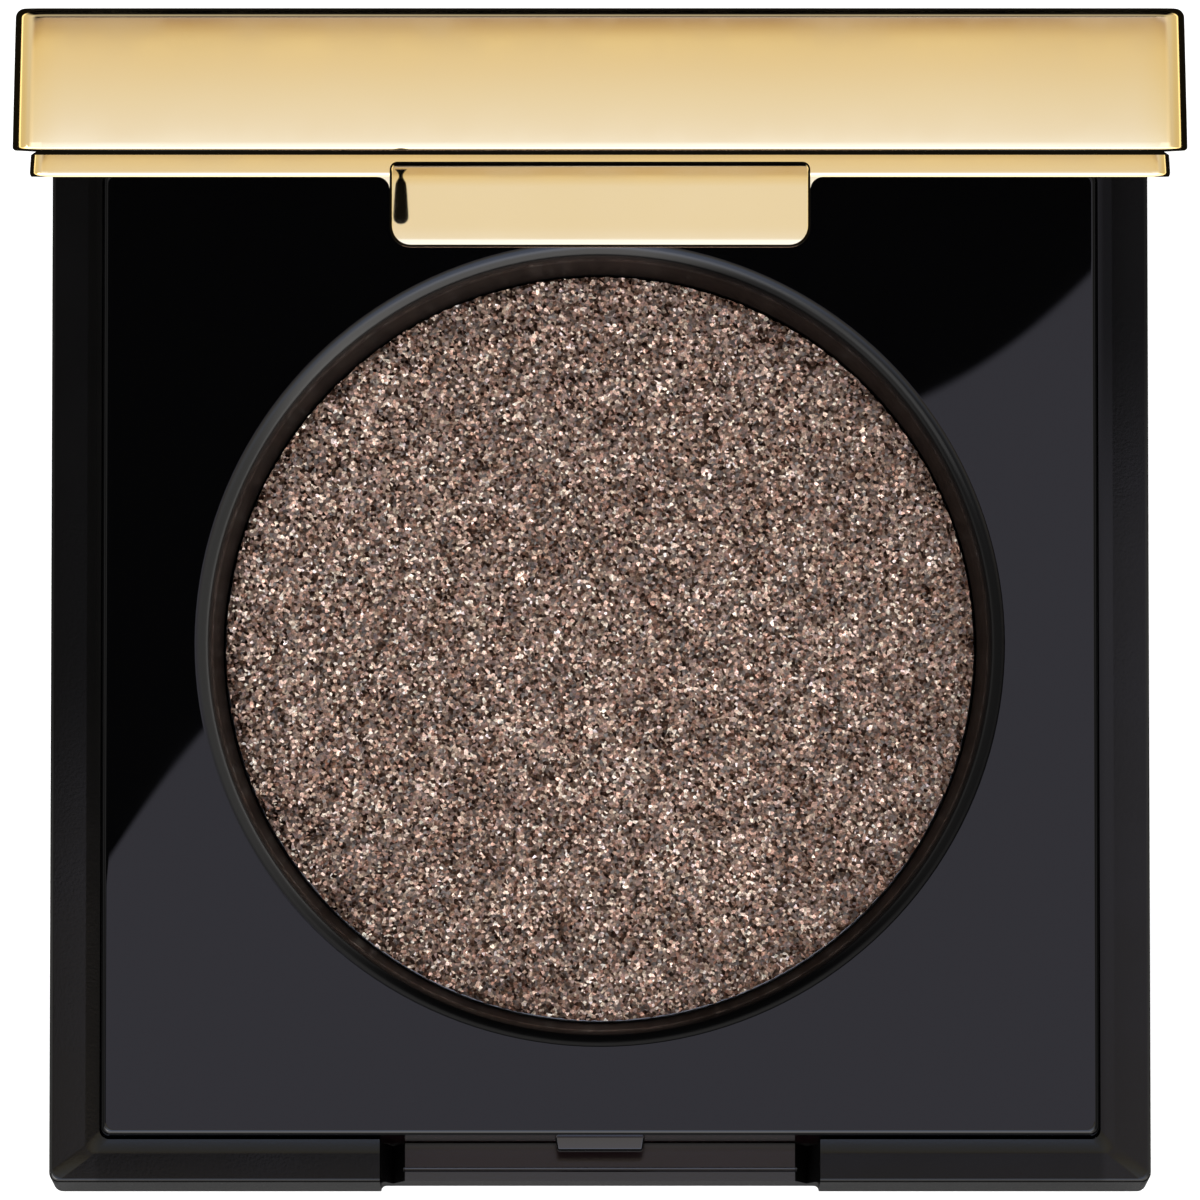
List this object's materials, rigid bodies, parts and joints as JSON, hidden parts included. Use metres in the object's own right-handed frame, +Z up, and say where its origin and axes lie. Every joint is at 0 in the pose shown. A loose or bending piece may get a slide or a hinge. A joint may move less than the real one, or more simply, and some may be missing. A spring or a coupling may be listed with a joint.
{
  "type": "eyeshadow palette",
  "caption": "Square single-shade eyeshadow compact: black base with a glossy tray, round powder pan, and a hinged gold lid with a mirror and snap tab.",
  "frame": {"origin": "centre of the base's flat underside", "axes": "+Z up out of the base, +Y towards the lid hinge at the rear, -Y towards the snap tab at the front, +X to the right seen from the front"},
  "size_m": [0.045, 0.0476, 0.0519],
  "materials": {
    "black_satin": "satin black moulded plastic",
    "black_gloss": "high gloss black",
    "gold": "polished gold metallised plastic",
    "pan_aluminium": "pressed sheet",
    "powder": "pressed taupe powder with glitter",
    "adhesive": "cured clear adhesive",
    "label_paper": "matt blank sticker",
    "pin_steel": "drawn steel pin",
    "mirror_glass": "silvered glass",
    "tape": "double-sided foam tape"
  },
  "bodies": {
    "base": {"base_case": "black_satin", "pan_tray": "black_gloss", "powder_pan": "pan_aluminium", "powder_cake": "powder", "pan_glue": "adhesive", "base_label": "label_paper", "hinge_pin_left": "pin_steel", "hinge_pin_right": "pin_steel"},
    "lid": {"lid_cover": "gold", "lid_frame": "gold", "mirror": "mirror_glass", "mirror_tape": "tape"}
  },
  "joints": [
    {"name": "lid_hinge", "type": "hinge", "parent": "base", "child": "lid", "pos_m": [0, 0.0209, 0.0086], "axis": [-1, 0, 0], "range_deg": [-82.5, 32.5]}
  ]
}
